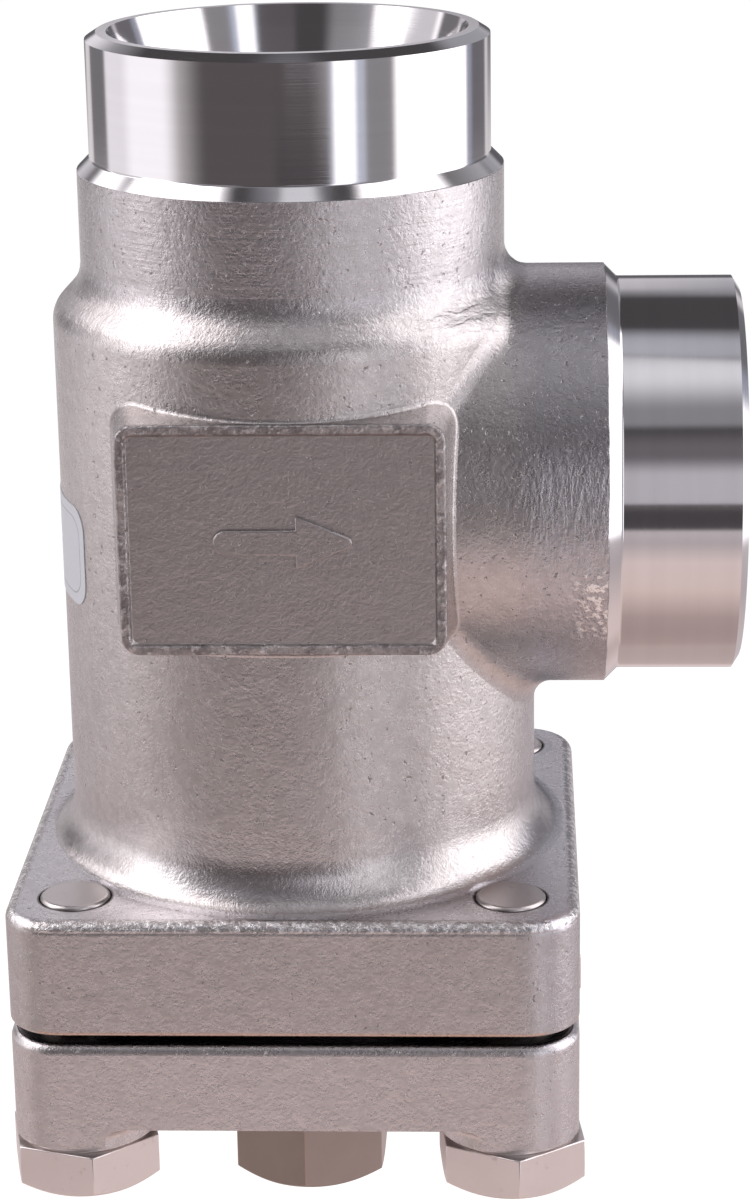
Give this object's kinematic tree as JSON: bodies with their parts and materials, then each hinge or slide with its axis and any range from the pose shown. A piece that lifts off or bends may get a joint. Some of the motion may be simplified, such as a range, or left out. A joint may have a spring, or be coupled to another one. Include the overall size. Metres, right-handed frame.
{
  "type": "line strainer",
  "caption": "Angle-pattern pipe strainer: cast steel housing with two butt-weld ends, bolted square cover with drain plug, and a spring-seated mesh basket that withdraws.",
  "frame": {"origin": "centre of the axial port's weld face", "axes": "+Z out of the axial port, +X out of the side port, the cast panel faces -Y"},
  "size_m": [0.0898, 0.0721, 0.149],
  "materials": {
    "cast_steel": "shot-blasted stainless casting, fine grain, with turned bright weld ends",
    "bolt_steel": "smooth satin stainless bar",
    "plug_steel": "smooth satin stainless bar, a little darker",
    "basket_steel": "rolled and pressed stainless sheet",
    "wire_gauze": "woven stainless wire",
    "spring_steel": "drawn stainless wire",
    "washer_aluminium": "soft rolled aluminium",
    "gasket_fibre": "matt compressed fibre"
  },
  "bodies": {
    "housing": {"housing": "cast_steel"},
    "cover": {"cover": "cast_steel", "cover_gasket": "gasket_fibre", "basket_spring": "spring_steel"},
    "basket": {"basket_top_ring": "basket_steel", "basket_tube": "basket_steel", "basket_mesh": "wire_gauze", "mesh_seam": "basket_steel", "basket_end_cap": "basket_steel"},
    "plug_washer": {"plug_washer": "washer_aluminium"},
    "drain_plug": {"drain_plug": "plug_steel"},
    "bolt_front_left": {"bolt_front_left": "bolt_steel"},
    "bolt_front_right": {"bolt_front_right": "bolt_steel"},
    "bolt_back_left": {"bolt_back_left": "bolt_steel"},
    "bolt_back_right": {"bolt_back_right": "bolt_steel"}
  },
  "joints": [
    {"name": "cover_withdraw", "type": "slide", "parent": "housing", "child": "cover", "axis": [0, 0, -1], "range_m": [0, 0.18]},
    {"name": "basket_withdraw", "type": "slide", "parent": "housing", "child": "basket", "axis": [0, 0, -1], "range_m": [0, 0.099]},
    {"name": "bolt_front_left_turn", "type": "hinge", "parent": "cover", "child": "bolt_front_left", "pos_m": [-0.0263, -0.0263, -0.13], "axis": [0, 0, -1], "continuous": true},
    {"name": "bolt_front_right_turn", "type": "hinge", "parent": "cover", "child": "bolt_front_right", "pos_m": [0.0263, -0.0263, -0.13], "axis": [0, 0, -1], "continuous": true},
    {"name": "bolt_back_left_turn", "type": "hinge", "parent": "cover", "child": "bolt_back_left", "pos_m": [-0.0263, 0.0263, -0.13], "axis": [0, 0, -1], "continuous": true},
    {"name": "bolt_back_right_turn", "type": "hinge", "parent": "cover", "child": "bolt_back_right", "pos_m": [0.0263, 0.0263, -0.13], "axis": [0, 0, -1], "continuous": true},
    {"name": "plug_travel", "type": "slide", "parent": "cover", "child": "plug_washer", "axis": [0, 0, -1], "range_m": [0, 0.0182]},
    {"name": "plug_turn", "type": "hinge", "parent": "plug_washer", "child": "drain_plug", "pos_m": [0, 0, -0.133], "axis": [0, 0, -1], "range_deg": [0, 3600]}
  ],
  "couplings": [
    {"joint": "basket_withdraw", "follows": "cover_withdraw", "ratio": 0.55},
    {"joint": "plug_travel", "follows": "plug_turn", "m_per_rad": 0.00028871}
  ]
}
